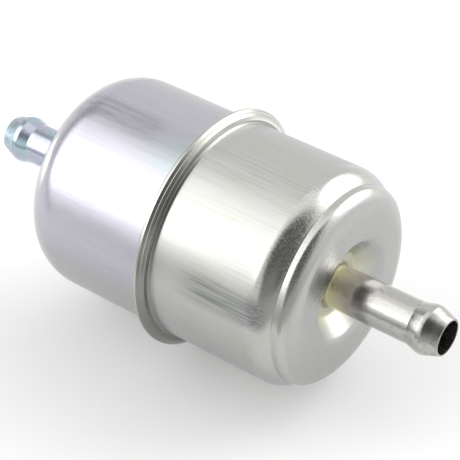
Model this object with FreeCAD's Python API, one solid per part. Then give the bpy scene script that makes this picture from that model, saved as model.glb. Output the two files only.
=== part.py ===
import FreeCAD, Part
import math
import os

# A small in-line fuel filter for a petrol engine: two drawn steel cups joined by a folded
# rim, a beaded hose nipple brazed into each end, and a pleated paper element held against
# the outlet by a light coil spring.
# Millimetres. +X is the way the fuel flows, +Z is up. The origin is on the axis of the
# filter at mid-length, in the plane of the folded rim.

# ---- shells ------------------------------------------------------------------------------
SHEET = 0.5                 # steel sheet of both cups
BODY_RADIUS = 20.9          # outside of both cups
RIM_RADIUS = 23.25          # outside of the folded rim
INLET_FACE_X = -31.9        # outside of the flat end of the inlet cup
OUTLET_FACE_X = 30.05       # outside of the flat end of the outlet cup
DOME_AXIAL = 9.6            # size of the round corner of the inlet cup, along the axis
DOME_RADIAL = 10.75         # and across it
BEND_RADIUS = 0.5           # bend from the inlet cup into its flange

# ---- shoulder, boss and recess of the outlet cup -----------------------------------------
SHOULDER_START_X = 22.4     # where the plain cylinder ends
SHOULDER_RADIUS = 5.1       # arc of the shoulder
SHOULDER_TURN = 50.0        # degrees the shoulder turns before it meets the boss
VALLEY_RADIUS = 0.3         # crease between shoulder and boss
BOSS_RADIUS = 18.95         # outside of the stepped end
BOSS_CORNER_AXIAL = 2.6
BOSS_CORNER_RADIAL = 4.6
RECESS_RADIUS = 11.0        # where the flat end face starts to roll into the recess
RECESS_LIP_RADIUS = 2.8     # roll of the face into the recess
RECESS_TURN = 45.0          # degrees of the recess wall
RECESS_DEPTH = 3.75
RECESS_FLOOR_RADIUS = 1.2   # bend at the floor of the recess

# ---- folded rim: the outlet cup's flange wraps over the inlet cup's flange -----------------
FOLD_BACK_X = -0.7          # inlet side of the fold
GASKET = 0.33               # thickness of the flat gasket between the flanges
GASKET_INNER = 21.4
GASKET_OUTER = 21.9
INLET_FLANGE_RADIUS = 22.25
RIM_BACK_RADIUS = 0.5       # rounded back edge of the fold
RIM_LAND_X = 0.1            # where the outermost land ends on the outlet side
ROLL_MARKS = ((0.44, 0.42), (0.08, 0.14), (0.42, 0.46), (0.07, 0.16))   # cone, step, cone, step
FLANGE_LEAN = 10.0          # degrees the outlet flange leans towards the outlet
ROOT_RADIUS = 0.75          # bend from the outlet cup into its flange
FOLD_CREASE_X = -0.1        # where the inside of the fold starts to slope in
LIP_INNER_RADIUS = 21.75    # cut edge of the folded lip

# ---- hose nipples --------------------------------------------------------------------------
TIP_X = 50.0                # both mouths, either side of the middle
TUBE_RADIUS = 4.0
BORE_RADIUS = 3.2
BEAD_RADIUS = 4.6
MOUTH_RADIUS = 3.5          # outside of the mouth
MOUTH_ROUND = 0.12
NOSE_LENGTH = 3.1           # cone from the mouth up to the bead
BEAD_LAND = 0.9
BEAD_RAMP = 2.2             # from the bead down to the tube
BEAD_ROUND = 0.9
COLLAR_RADIUS = 5.2         # upset collar that stops against the inside of the cup
COLLAR_LENGTH = 1.2
INLET_TAIL = 1.4            # tube left behind the inlet collar
OUTLET_SPIGOT = 6.8         # tube left behind the outlet collar; it carries the seal
BRAZE_RADIUS = 4.7          # foot of the braze fillet
BRAZE_LENGTH = 0.7
BRAZE_SAG = 0.18            # how hollow the fillet is

# ---- filter element ------------------------------------------------------------------------
PLEAT_OUTER = 17.0
PLEAT_INNER = 9.6
PLEAT_COUNT = 36
PLEAT_FOLD = 1.6            # depth of doubled paper at each fold
PAPER = 0.5                 # thickness of the pleated paper
CAP_SHEET = 0.4
CAP_RADIUS = 18.0
CAP_RIM = 2.4               # height of the rim of each end cap
POTTING = 1.2               # cured adhesive between cap and paper
POTTING_INNER = 8.0
OPEN_CAP_X = 21.4           # outer face of the open cap
CLOSED_CAP_X = -20.4        # outer face of the closed cap
PILOT_RADIUS = 6.7          # raised middle of the closed cap, inside the spring
PILOT_HEIGHT = 1.4
CORE_RADIUS = 8.8           # outside of the perforated centre tube
CORE_SHEET = 0.5
CORE_HOLE_RADIUS = 1.3
CORE_HOLE_ROWS = 9
CORE_HOLES_AROUND = 10
STRAINER_WALL = 0.2         # fine mesh sleeve inside the centre tube
BAND_WIDTH = 1.4
BAND_THICKNESS = 0.4
BAND_OFFSET = 9.0           # pleat bands, either side of the middle
CLIP_SHEET = 0.3
CLIP_REACH = 2.0            # how far the seam clip reaches up the pleat

# ---- seal, spring and spring seat -----------------------------------------------------------
SEAL_BORE = 4.05            # runs on the outlet spigot
SEAL_RADIUS = 6.6
SEAL_FLANGE_RADIUS = 7.7
SEAL_FLANGE = 0.9
SEAL_TAIL = 1.6             # length behind the open cap
SEAT_RADIUS = 10.0
SEAT_SHEET = 0.5
SEAT_LIP_RADIUS = 6.9       # centring lip inside the spring
SEAT_LIP = 2.0
SPRING_RADIUS = 8.0         # to the middle of the wire
WIRE_RADIUS = 0.5
SPRING_TURNS = 4.5
SPRING_POINTS_PER_TURN = 24
COIL_GAP = 0.04             # between the closed coils at each end
FIT = 0.02                  # between pieces that only just touch

# ---- worked out from the above --------------------------------------------------------------
FOLD_INNER_RADIUS = RIM_RADIUS - SHEET
INLET_FLANGE_X = FOLD_BACK_X + SHEET
GASKET_X = INLET_FLANGE_X + SHEET
INLET_INSIDE_X = INLET_FACE_X + SHEET
RECESS_FLOOR_X = OUTLET_FACE_X - RECESS_DEPTH
OUTLET_INSIDE_X = RECESS_FLOOR_X - SHEET
OPEN_PAPER_X = OPEN_CAP_X - CAP_SHEET - POTTING
CLOSED_PAPER_X = CLOSED_CAP_X + CAP_SHEET + POTTING
AXIS_START = FreeCAD.Vector(0, 0, 0)
AXIS = FreeCAD.Vector(1, 0, 0)


# ---- turned outlines: every corner is (x along the axis, radius from it, bend radius) ---------
def point(x, r):
    return FreeCAD.Vector(x, 0, r)


def unit(start, end):
    """Direction from one corner to the next."""
    length = math.hypot(end[0] - start[0], end[1] - start[1])
    return ((end[0] - start[0]) / length, (end[1] - start[1]) / length)


def turn_at(before, corner, after):
    """Signed turn of the path at a corner in radians, positive to the left."""
    u = unit(before, corner)
    v = unit(corner, after)
    return math.atan2(u[0] * v[1] - u[1] * v[0], u[0] * v[0] + u[1] * v[1])


def shifted(corners, distance):
    """An open path moved sideways to its left, with its bend radii changed to match."""
    moved = []
    last = len(corners) - 1
    for i, corner in enumerate(corners):
        u = unit(corners[max(i - 1, 0)], corners[max(i, 1)])
        along = 0.0
        radius = 0.0
        if 0 < i < last:
            turn = turn_at(corners[i - 1], corner, corners[i + 1])
            along = -distance * math.tan(turn / 2)
            radius = max(0.0, corner[2] - math.copysign(distance, turn * distance))
        x = corner[0] - u[1] * distance + u[0] * along
        r = corner[1] + u[0] * distance + u[1] * along
        moved.append((x, r, radius))
    return moved


def corner_points(before, corner, after):
    """The corner itself, or the start, middle and end of the arc that rounds it."""
    x, r, radius = corner
    turn = turn_at(before, corner, after)
    if radius == 0 or abs(turn) < 1e-6:
        return [point(x, r)]
    u = unit(before, corner)
    v = unit(corner, after)
    back = radius * math.tan(abs(turn) / 2)
    rise = radius / math.cos(turn / 2) - radius
    inward = unit((0, 0), (v[0] - u[0], v[1] - u[1]))
    return [
        point(x - u[0] * back, r - u[1] * back),
        point(x + inward[0] * rise, r + inward[1] * rise),
        point(x + v[0] * back, r + v[1] * back),
    ]


def outline_face(corners):
    """Flat face inside a closed outline of rounded corners."""
    count = len(corners)
    edges = []
    runs = [corner_points(corners[i - 1], corners[i], corners[(i + 1) % count]) for i in range(count)]
    for i, run in enumerate(runs):
        if len(run) == 3:
            edges.append(Part.Arc(run[0], run[1], run[2]).toShape())
        start = run[-1]
        end = runs[(i + 1) % count][0]
        if start.distanceToPoint(end) > 1e-6:
            edges.append(Part.makeLine(start, end))
    return Part.Face(Part.Wire(edges))


def turned(corners):
    """Solid of revolution about the axis of the filter."""
    return outline_face(corners).revolve(AXIS_START, AXIS, 360)


def ring(x_start, x_end, inner, outer):
    return turned([(x_start, inner, 0), (x_start, outer, 0), (x_end, outer, 0), (x_end, inner, 0)])


def soft_corner(x, r, axial, radial, side):
    """Two corners whose touching arcs make an oval bend from the cylinder to the end face.

    side is +1 for an end face at +X and -1 for one at -X. The arc next to the cylinder comes
    first. Each arc turns 45 degrees.
    """
    k = math.tan(math.pi / 8)
    total = (axial + radial) / k / (1 + math.sqrt(2))
    difference = (radial - axial) / k
    face_radius = (total + difference) / 2
    wall_radius = (total - difference) / 2
    return [
        (x - side * (axial - wall_radius * k), r, wall_radius),
        (x, r - radial + face_radius * k, face_radius),
    ]


# ---- housing -----------------------------------------------------------------------------------
def fold_corners():
    """Outside of the folded rim from its cut edge, over the top and down the rolled front."""
    x = RIM_LAND_X
    r = RIM_RADIUS
    corners = [
        (FOLD_BACK_X, LIP_INNER_RADIUS, 0),
        (FOLD_BACK_X, r, RIM_BACK_RADIUS),
        (x, r, 0),
    ]
    for along, down in ROLL_MARKS:
        x += along
        r -= down
        corners.append((x, r, 0))
    return corners


def make_inlet_shell():
    """Plain domed cup with a flat flange."""
    dome = soft_corner(INLET_FACE_X, BODY_RADIUS, DOME_AXIAL, DOME_RADIAL, -1)
    outside = [
        (INLET_FACE_X, TUBE_RADIUS, 0),
        dome[1],
        dome[0],
        (INLET_FLANGE_X, BODY_RADIUS, BEND_RADIUS),
        (INLET_FLANGE_X, INLET_FLANGE_RADIUS, 0),
    ]
    inside = shifted(outside, -SHEET)
    return turned(outside + inside[::-1])


def outlet_outside():
    """Visible side of the outlet cup from the front of its flange to the hole for the nipple."""
    turn = math.radians(SHOULDER_TURN)
    shoulder_x = SHOULDER_START_X + SHOULDER_RADIUS * math.tan(turn / 2)
    valley_x = shoulder_x + (BODY_RADIUS - BOSS_RADIUS) / math.tan(turn)
    boss = soft_corner(OUTLET_FACE_X, BOSS_RADIUS, BOSS_CORNER_AXIAL, BOSS_CORNER_RADIAL, 1)
    wall = math.radians(RECESS_TURN)
    lip_r = RECESS_RADIUS - RECESS_LIP_RADIUS * math.tan(wall / 2)
    floor_r = lip_r - RECESS_DEPTH / math.tan(wall)
    top_x, top_r, sharp = fold_corners()[-1]
    foot_x = top_x + (top_r - BODY_RADIUS) * math.tan(math.radians(FLANGE_LEAN))
    return [
        (top_x, top_r, sharp),
        (foot_x, BODY_RADIUS, ROOT_RADIUS),
        (shoulder_x, BODY_RADIUS, SHOULDER_RADIUS),
        (valley_x, BOSS_RADIUS, VALLEY_RADIUS),
        boss[0],
        boss[1],
        (OUTLET_FACE_X, lip_r, RECESS_LIP_RADIUS),
        (RECESS_FLOOR_X, floor_r, RECESS_FLOOR_RADIUS),
        (RECESS_FLOOR_X, TUBE_RADIUS, 0),
    ]


def make_outlet_shell():
    """Cup with a shoulder, a stepped end and a recess; its flange is folded into the rim."""
    outside = outlet_outside()
    inside = shifted(outside, -SHEET)
    fold_inside = [
        (FOLD_CREASE_X, FOLD_INNER_RADIUS, 0),
        (INLET_FLANGE_X, FOLD_INNER_RADIUS, 0),
        (INLET_FLANGE_X, LIP_INNER_RADIUS, 0),
    ]
    return turned(fold_corners() + outside[1:] + inside[::-1] + fold_inside)


def make_seam_gasket():
    return ring(GASKET_X, GASKET_X + GASKET, GASKET_INNER, GASKET_OUTER)


def make_nipple(side, seat_x, inside_x, tail):
    """Beaded tube; side is +1 at the outlet. The collar stops against the cup at inside_x."""
    tip = side * TIP_X
    crest = tip - side * NOSE_LENGTH
    foot = crest - side * (BEAD_LAND + BEAD_RAMP)
    collar_end = inside_x - side * COLLAR_LENGTH
    end = collar_end - side * tail
    return turned([
        (tip, BORE_RADIUS, 0),
        (tip, MOUTH_RADIUS, MOUTH_ROUND),
        (crest, BEAD_RADIUS, BEAD_ROUND),
        (crest - side * BEAD_LAND, BEAD_RADIUS, BEAD_ROUND),
        (foot, TUBE_RADIUS, BEAD_ROUND),
        (seat_x, TUBE_RADIUS, 0),
        (inside_x, TUBE_RADIUS, 0),
        (inside_x, COLLAR_RADIUS, 0),
        (collar_end, COLLAR_RADIUS, 0),
        (collar_end, TUBE_RADIUS, 0),
        (end, TUBE_RADIUS, 0),
        (end, BORE_RADIUS, 0),
    ])


def make_inlet_nipple():
    return make_nipple(-1, INLET_FACE_X, INLET_INSIDE_X, INLET_TAIL)


def make_outlet_nipple():
    return make_nipple(1, RECESS_FLOOR_X, OUTLET_INSIDE_X, OUTLET_SPIGOT)


def make_braze_ring(side, face_x):
    """Hollow fillet of braze metal between the outside of the cup and the tube."""
    top_x = face_x + side * BRAZE_LENGTH
    sag_x = face_x + side * BRAZE_SAG
    return turned([
        (face_x, TUBE_RADIUS, 0),
        (top_x, TUBE_RADIUS, 0),
        (sag_x, TUBE_RADIUS + BRAZE_SAG, BRAZE_LENGTH - BRAZE_SAG),
        (face_x, BRAZE_RADIUS, 0),
    ])


def make_inlet_braze_ring():
    return make_braze_ring(-1, INLET_FACE_X)


def make_outlet_braze_ring():
    return make_braze_ring(1, RECESS_FLOOR_X)


def make_spring_seat():
    """Pressed ring inside the dome that centres the fixed end of the spring."""
    face = INLET_INSIDE_X
    inner = SEAT_LIP_RADIUS - SEAT_SHEET
    return turned([
        (face, inner, 0),
        (face, SEAT_RADIUS, 0),
        (face + SEAT_SHEET, SEAT_RADIUS, 0),
        (face + SEAT_SHEET, SEAT_LIP_RADIUS, 0),
        (face + SEAT_LIP, SEAT_LIP_RADIUS, 0),
        (face + SEAT_LIP, inner, 0),
    ])


def make_element_spring():
    """Open coil with closed ends; the pitch swells smoothly towards the middle coils."""
    start = INLET_INSIDE_X + SEAT_SHEET + WIRE_RADIUS + FIT
    length = CLOSED_CAP_X - WIRE_RADIUS - FIT - start
    closed_pitch = 2 * WIRE_RADIUS + COIL_GAP
    swell = (length - closed_pitch * SPRING_TURNS) / (2 * math.pi)
    steps = int(SPRING_TURNS * SPRING_POINTS_PER_TURN)
    points = []
    for i in range(steps + 1):
        part = i / steps
        x = start + length * part - swell * math.sin(2 * math.pi * part)
        angle = 2 * math.pi * SPRING_TURNS * part
        points.append(FreeCAD.Vector(x, SPRING_RADIUS * math.cos(angle), SPRING_RADIUS * math.sin(angle)))
    curve = Part.BSplineCurve()
    curve.interpolate(points)
    path = Part.Wire([curve.toShape()])
    tangent = curve.tangent(curve.FirstParameter)[0]
    wire = Part.Wire([Part.makeCircle(WIRE_RADIUS, points[0], tangent)])
    return path.makePipeShell([wire], True, True)


# ---- filter element ------------------------------------------------------------------------------
def make_closed_end_cap():
    """Pressed cup on the inlet end of the paper, raised in the middle to centre the spring."""
    face = CLOSED_CAP_X
    pilot = face - PILOT_HEIGHT
    return turned([
        (pilot, 0, 0),
        (pilot, PILOT_RADIUS, CAP_SHEET),
        (face, PILOT_RADIUS, 0),
        (face, CAP_RADIUS, CAP_SHEET),
        (face + CAP_RIM, CAP_RADIUS, 0),
        (face + CAP_RIM, CAP_RADIUS - CAP_SHEET, 0),
        (face + CAP_SHEET, CAP_RADIUS - CAP_SHEET, 0),
        (face + CAP_SHEET, PILOT_RADIUS - CAP_SHEET, 0),
        (pilot + CAP_SHEET, PILOT_RADIUS - CAP_SHEET, 0),
        (pilot + CAP_SHEET, 0, 0),
    ])


def make_open_end_cap():
    """Pressed ring on the outlet end of the paper; the seal snaps into its hole."""
    face = OPEN_CAP_X
    return turned([
        (face, SEAL_RADIUS, 0),
        (face, CAP_RADIUS, CAP_SHEET),
        (face - CAP_RIM, CAP_RADIUS, 0),
        (face - CAP_RIM, CAP_RADIUS - CAP_SHEET, 0),
        (face - CAP_SHEET, CAP_RADIUS - CAP_SHEET, 0),
        (face - CAP_SHEET, SEAL_RADIUS, 0),
    ])


def make_closed_potting():
    return ring(CLOSED_CAP_X + CAP_SHEET, CLOSED_PAPER_X, POTTING_INNER, CAP_RADIUS - CAP_SHEET)


def make_open_potting():
    return ring(OPEN_PAPER_X, OPEN_CAP_X - CAP_SHEET, POTTING_INNER, CAP_RADIUS - CAP_SHEET)


def across(radial, lateral, angle):
    """Point of the pleated section: radial and sideways distances from a ray at an angle."""
    y = radial * math.cos(angle) - lateral * math.sin(angle)
    z = radial * math.sin(angle) + lateral * math.cos(angle)
    return FreeCAD.Vector(CLOSED_PAPER_X, y, z)


def section_face(points):
    """Flat face inside a closed section of straight lines."""
    return Part.Face(Part.makePolygon(points + points[:1]))


def make_pleated_paper():
    """Star-folded paper: flat-topped folds outside and inside, thin straight flanks."""
    half_pitch = math.pi / PLEAT_COUNT
    outer = []
    inner = []
    for i in range(PLEAT_COUNT):
        ridge = 2 * half_pitch * i
        valley = ridge + half_pitch
        outer += [across(PLEAT_OUTER, -PAPER / 2, ridge), across(PLEAT_OUTER, PAPER / 2, ridge)]
        outer.append(across(PLEAT_INNER + PLEAT_FOLD, 0, valley))
        inner.append(across(PLEAT_OUTER - PLEAT_FOLD, 0, ridge))
        inner += [across(PLEAT_INNER, -PAPER / 2, valley), across(PLEAT_INNER, PAPER / 2, valley)]
    star = section_face(outer).cut(section_face(inner))
    return star.extrude(AXIS * (OPEN_PAPER_X - CLOSED_PAPER_X)).Solids[0]


def make_seam_clip():
    """Thin folded strip that clasps the inner fold where the two ends of the paper meet."""
    half_pitch = math.pi / PLEAT_COUNT
    fold_tip = PLEAT_OUTER - PLEAT_FOLD
    run = fold_tip * math.cos(half_pitch) - PLEAT_INNER
    slope = (fold_tip * math.sin(half_pitch) - PAPER / 2) / run
    near = PAPER / 2 + FIT
    far = near + CLIP_REACH * slope
    top = PLEAT_INNER + CLIP_REACH
    bottom = PLEAT_INNER - FIT
    section = [
        (bottom - CLIP_SHEET, near + CLIP_SHEET),
        (top, far + CLIP_SHEET),
        (top, far),
        (bottom, near),
    ]
    section += [(radial, -lateral) for radial, lateral in reversed(section)]
    face = section_face([across(radial, lateral, half_pitch) for radial, lateral in section])
    return face.extrude(AXIS * (OPEN_PAPER_X - CLOSED_PAPER_X))


def make_centre_tube():
    """Steel tube with rows of round holes that holds the paper up from inside."""
    tube = ring(CLOSED_PAPER_X, OPEN_PAPER_X, CORE_RADIUS - CORE_SHEET, CORE_RADIUS)
    pitch = (OPEN_PAPER_X - CLOSED_PAPER_X) / CORE_HOLE_ROWS
    holes = []
    for row in range(CORE_HOLE_ROWS):
        x = CLOSED_PAPER_X + (row + 0.5) * pitch
        for i in range(CORE_HOLES_AROUND):
            angle = 2 * math.pi * (i + 0.5 * (row % 2)) / CORE_HOLES_AROUND
            outward = FreeCAD.Vector(0, math.cos(angle), math.sin(angle))
            start = FreeCAD.Vector(x, 0, 0) + outward * (CORE_RADIUS - 2 * CORE_SHEET)
            holes.append(Part.makeCylinder(CORE_HOLE_RADIUS, 3 * CORE_SHEET, start, outward))
    return tube.cut(holes)


def make_core_strainer():
    """Fine mesh sleeve, modelled as a plain sleeve, lining the centre tube."""
    outer = CORE_RADIUS - CORE_SHEET
    return ring(CLOSED_PAPER_X, OPEN_PAPER_X, outer - STRAINER_WALL, outer)


def make_pleat_band(side):
    middle = (OPEN_PAPER_X + CLOSED_PAPER_X) / 2 + side * BAND_OFFSET
    half = BAND_WIDTH / 2
    return ring(middle - half, middle + half, PLEAT_OUTER + FIT, PLEAT_OUTER + FIT + BAND_THICKNESS)


def make_inlet_pleat_band():
    return make_pleat_band(-1)


def make_outlet_pleat_band():
    return make_pleat_band(1)


def make_element_seal():
    """Rubber grommet snapped into the open cap; it slides on the spigot and stops on the collar."""
    stop = OUTLET_INSIDE_X - COLLAR_LENGTH
    back = OPEN_CAP_X - CAP_SHEET
    tail = back - SEAL_TAIL
    return turned([
        (stop, SEAL_BORE, 0),
        (stop, SEAL_RADIUS, 0),
        (OPEN_CAP_X + SEAL_FLANGE, SEAL_RADIUS, 0),
        (OPEN_CAP_X + SEAL_FLANGE, SEAL_FLANGE_RADIUS, 0),
        (OPEN_CAP_X, SEAL_FLANGE_RADIUS, 0),
        (OPEN_CAP_X, SEAL_RADIUS, 0),
        (back, SEAL_RADIUS, 0),
        (back, SEAL_FLANGE_RADIUS, 0),
        (back - SEAL_FLANGE, SEAL_FLANGE_RADIUS, 0),
        (tail, SEAL_RADIUS, 0),
        (tail, SEAL_BORE, 0),
    ])


PIECES = {
    "inlet_shell": make_inlet_shell,
    "outlet_shell": make_outlet_shell,
    "seam_gasket": make_seam_gasket,
    "inlet_nipple": make_inlet_nipple,
    "outlet_nipple": make_outlet_nipple,
    "inlet_braze_ring": make_inlet_braze_ring,
    "outlet_braze_ring": make_outlet_braze_ring,
    "spring_seat": make_spring_seat,
    "element_spring": make_element_spring,
    "closed_end_cap": make_closed_end_cap,
    "open_end_cap": make_open_end_cap,
    "closed_potting": make_closed_potting,
    "open_potting": make_open_potting,
    "pleated_paper": make_pleated_paper,
    "paper_seam_clip": make_seam_clip,
    "centre_tube": make_centre_tube,
    "core_strainer": make_core_strainer,
    "inlet_pleat_band": make_inlet_pleat_band,
    "outlet_pleat_band": make_outlet_pleat_band,
    "element_seal": make_element_seal,
}

os.makedirs("parts", exist_ok=True)
for name, make in PIECES.items():
    piece = make()
    if not piece.isValid() or len(piece.Solids) != 1:
        raise ValueError("%s is not one valid solid" % name)
    piece.Solids[0].exportStep("parts/%s.step" % name)
    box = piece.BoundBox
    print(name, round(piece.Volume, 1), [round(v, 2) for v in (box.XMin, box.XMax, box.ZMin, box.ZMax)])
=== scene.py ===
import math

import bpy
from mathutils import Matrix, Vector


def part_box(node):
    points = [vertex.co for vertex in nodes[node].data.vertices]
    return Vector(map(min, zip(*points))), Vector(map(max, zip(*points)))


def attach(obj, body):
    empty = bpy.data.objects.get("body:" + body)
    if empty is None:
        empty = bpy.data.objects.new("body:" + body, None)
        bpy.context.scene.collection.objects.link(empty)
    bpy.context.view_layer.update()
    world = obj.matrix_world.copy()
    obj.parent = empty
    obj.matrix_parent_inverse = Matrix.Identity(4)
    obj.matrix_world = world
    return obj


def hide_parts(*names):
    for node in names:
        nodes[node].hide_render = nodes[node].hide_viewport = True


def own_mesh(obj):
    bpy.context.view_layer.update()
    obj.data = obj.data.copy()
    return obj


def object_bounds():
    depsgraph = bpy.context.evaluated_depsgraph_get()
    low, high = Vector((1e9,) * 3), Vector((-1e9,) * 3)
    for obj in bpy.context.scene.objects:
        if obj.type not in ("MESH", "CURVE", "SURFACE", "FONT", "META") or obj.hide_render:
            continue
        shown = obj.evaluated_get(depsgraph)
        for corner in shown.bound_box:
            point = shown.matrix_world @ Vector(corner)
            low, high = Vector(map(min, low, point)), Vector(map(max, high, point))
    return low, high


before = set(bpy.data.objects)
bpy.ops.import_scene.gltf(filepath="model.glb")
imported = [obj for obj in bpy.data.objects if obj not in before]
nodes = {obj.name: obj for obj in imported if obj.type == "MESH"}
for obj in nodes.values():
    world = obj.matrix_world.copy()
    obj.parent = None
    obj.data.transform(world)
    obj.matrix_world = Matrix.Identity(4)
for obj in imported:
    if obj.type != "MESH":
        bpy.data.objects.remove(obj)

CAD_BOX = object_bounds()

# ---- sizes of the turned sheet pieces, in metres; places come from the frame's boxes below ----
MM = 0.001
SHEET = 0.5 * MM
BODY_RADIUS = 20.9 * MM
BEND_RADIUS = 0.5 * MM
DOME = (9.6 * MM, 10.75 * MM)            # round corner of the inlet cup: along, across
SHOULDER_START = 7.65 * MM               # from the end face back to where the cylinder ends
SHOULDER_RADIUS = 5.1 * MM
SHOULDER_TURN = math.radians(50)
VALLEY_RADIUS = 0.3 * MM
BOSS_RADIUS = 18.95 * MM
BOSS_CORNER = (2.6 * MM, 4.6 * MM)
RECESS_RADIUS = 11.0 * MM
RECESS_LIP_RADIUS = 2.8 * MM
RECESS_TURN = math.radians(45)
RECESS_DEPTH = 3.75 * MM
RECESS_FLOOR_RADIUS = 1.2 * MM
RIM_BACK_RADIUS = 0.5 * MM
RIM_LAND_X = 0.1 * MM
ROLL_MARKS = (                           # cone, step, cone, step: along the axis, inwards
    (0.44 * MM, 0.42 * MM),
    (0.08 * MM, 0.14 * MM),
    (0.42 * MM, 0.46 * MM),
    (0.07 * MM, 0.16 * MM),
)
FLANGE_LEAN = math.radians(10)
ROOT_RADIUS = 0.75 * MM                  # bend from the outlet cup into its flange
FOLD_CREASE_X = -0.1 * MM
LIP_INNER_RADIUS = 21.75 * MM
TUBE_RADIUS = 4.0 * MM
BORE_RADIUS = 3.2 * MM
BEAD_RADIUS = 4.6 * MM
MOUTH_RADIUS = 3.5 * MM
MOUTH_ROUND = 0.12 * MM
NOSE_LENGTH = 3.1 * MM
BEAD_LAND = 0.9 * MM
BEAD_RAMP = 2.2 * MM
BEAD_ROUND = 0.9 * MM
COLLAR_LENGTH = 1.2 * MM
BRAZE_SAG = 0.12 * MM                    # how hollow the fillet is
BRAZE_STEPS = 8
SPRING_WIRE_RADIUS = 0.5 * MM
SPRING_COIL_GAP = 0.04 * MM
SPRING_TURNS = 4.5
SPRING_RINGS_PER_TURN = 40
WIRE_SIDES = 14

# ---- how finishes fade: a rise has two numbers, where it starts and where it is full; a window
# has three, from, to and the soft length outside them. A side is an angle round the axis, 0 at
# +Y and 90 at +Z ----
def degrees_window(start, end, soft):
    return (math.radians(start), math.radians(end), math.radians(soft))


PATCHY = (0.35, 0.65)                    # noise turned into patches with soft edges
BROADLY_PATCHY = (0.3, 0.7)

# ---- drawn sheet ----
SHEET_ANISOTROPY = 0.6
STREAK_LENGTH = 22 * MM
STREAK_WIDTH = 0.38 * MM
STREAK_DEPTH = 0.005 * MM
STREAK_ROUGHNESS = (-0.06, 0.06)         # added to the wall's
DARK_STREAK = (0.5, 0.75)                # streak noise that shows as a darker line
DARK_STREAK_STRENGTH = 0.18
MOTTLE = 0.6 * MM
MOTTLE_DEPTH = 0.01 * MM
WALL_MOTTLE_SHARE = 0.4                  # of the mottle's depth, left on the straight wall
CLOUD = 7 * MM
WAVE_LENGTH = 18 * MM
WAVE_WIDTH = 6 * MM
WAVE_DEPTH = 0.02 * MM
SPECK = (0.5 * MM, 0.26 * MM)            # along, across
SPECK_EDGE = (0.42, 0.66)
SPECK_SIDE = degrees_window(112, 138, 14)   # where stretching roughened the bends
INLET_SPECK = 0.04                       # roughness the specks add
OUTLET_SPECK = 0.17
# scratch lines on the wall, painted darker and lighter only along the upper edge of the highlight: painted
# reflection on real scoring
SCORE_LENGTH = 16 * MM
SCORE_WIDTH = 0.2 * MM
SCORE_REFLECTION_SIDE = degrees_window(97, 111, 7)
SCORE_WALL = (20.5 * MM, 20.8 * MM)      # radius
SCORE_REFLECTION_STRENGTH = 0.35
DARK_SCORE_REFLECTION = (0.54, 0.66)
LIGHT_SCORE_REFLECTION = (0.46, 0.36)
GLANCE_BLEND = 0.35
GLANCE = (0.35, 0.95)                    # how edge-on the sheet is seen
WALL_ROUGHNESS = (0.28, 0.36)
BEND_ROUGHNESS = (0.16, 0.22)
FACE_ROUGHNESS = (0.24, 0.32)
RIM_ROUGHNESS = (0.18, 0.26)
INLET_BEND = (-21 * MM, -25 * MM)        # where the satin wall turns bright, along the axis
OUTLET_BEND = (21 * MM, 23 * MM)
INLET_FACE = (-30.5 * MM, -31.5 * MM)    # where the bend turns into the satin end face
OUTLET_FACE = (28.2 * MM, 29.2 * MM)
RECESS_EDGE = (12.5 * MM, 11.5 * MM)     # radius inside which the end stays satin
RIM_BEND = (21.2 * MM, 21.5 * MM)        # radius where the wall turns into the rim

# ---- tints of the inlet cup, and a painted dark reflection ----
NEUTRAL_HEIGHT = (1 * MM, -5 * MM)       # below this the plating is neutral
NEUTRAL_STRENGTH = 0.8
CYAN_SIDE = degrees_window(106, 118, 9)
CYAN_REACH = (-12 * MM, -2 * MM)
CYAN_STRENGTH = 0.5
# painted dark reflection: a patchy dark band along the upper edge of the highlight
DARK_REFLECTION_SIDE = degrees_window(99, 108, 6)
DARK_REFLECTION_REACH = (-25 * MM, -12 * MM, 6 * MM)
DARK_REFLECTION_GRAIN = (4 * MM, 1 * MM)            # along, across
DARK_REFLECTION_DENSITY = (0.3, 1.0)
DARK_REFLECTION_STRENGTH = 0.32

# ---- tints of the outlet cup, and painted light, shade and reflections on it ----
HEAT_REACH = (9.5 * MM, 6 * MM)          # radius within which brazing tinted the plating
HEAT_PATCH = 3 * MM
HEAT_DENSITY = (0.5, 1.0)
# painted light: a lighter patch on the end face over the tube's dark reflection
PAINTED_LIGHT_SIDE = degrees_window(124, 133, 14)
PAINTED_LIGHT_RING = (12.6 * MM, 14.6 * MM, 1.8 * MM)
PAINTED_LIGHT_GRAIN = 0.7 * MM
PAINTED_LIGHT_EDGE = (0.1, 0.7)
# painted dark reflection: fine streaks low on the outlet wall, at the lower edge of the highlight
STREAKY_REFLECTION_SIDE = degrees_window(163, 171, 6)
STREAKY_REFLECTION_REACH = (14 * MM, 21 * MM, 9 * MM)
STREAKY_REFLECTION_GRAIN = (12 * MM, 0.3 * MM)      # along, across
STREAKY_REFLECTION_DENSITY = (0.15, 1.0)
STREAKY_REFLECTION_WALL = (19.5 * MM, 20.3 * MM)      # radius
STREAKY_REFLECTION_STRENGTH = 0.75
FILLET = (1.95 * MM, 1.6 * MM)           # where the root of the rim ends along the wall
ROOT_BLUR = (21.9 * MM, 21.6 * MM)       # radius where the root begins
RIM_PAINTED_LIGHT_HEIGHT = (21.2 * MM, 19 * MM)          # height below which the rim gets its painted shade and highlights
RIM_LOWER_SHADE_HEIGHT = (11 * MM, 4 * MM)        # and below which its painted shade is darker still
# painted highlight band on the rim's flange
FLANGE_HIGHLIGHT_BAND = (21.55 * MM, 22.0 * MM, 0.08 * MM)
STEP_BLUR = 0.03 * MM

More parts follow.
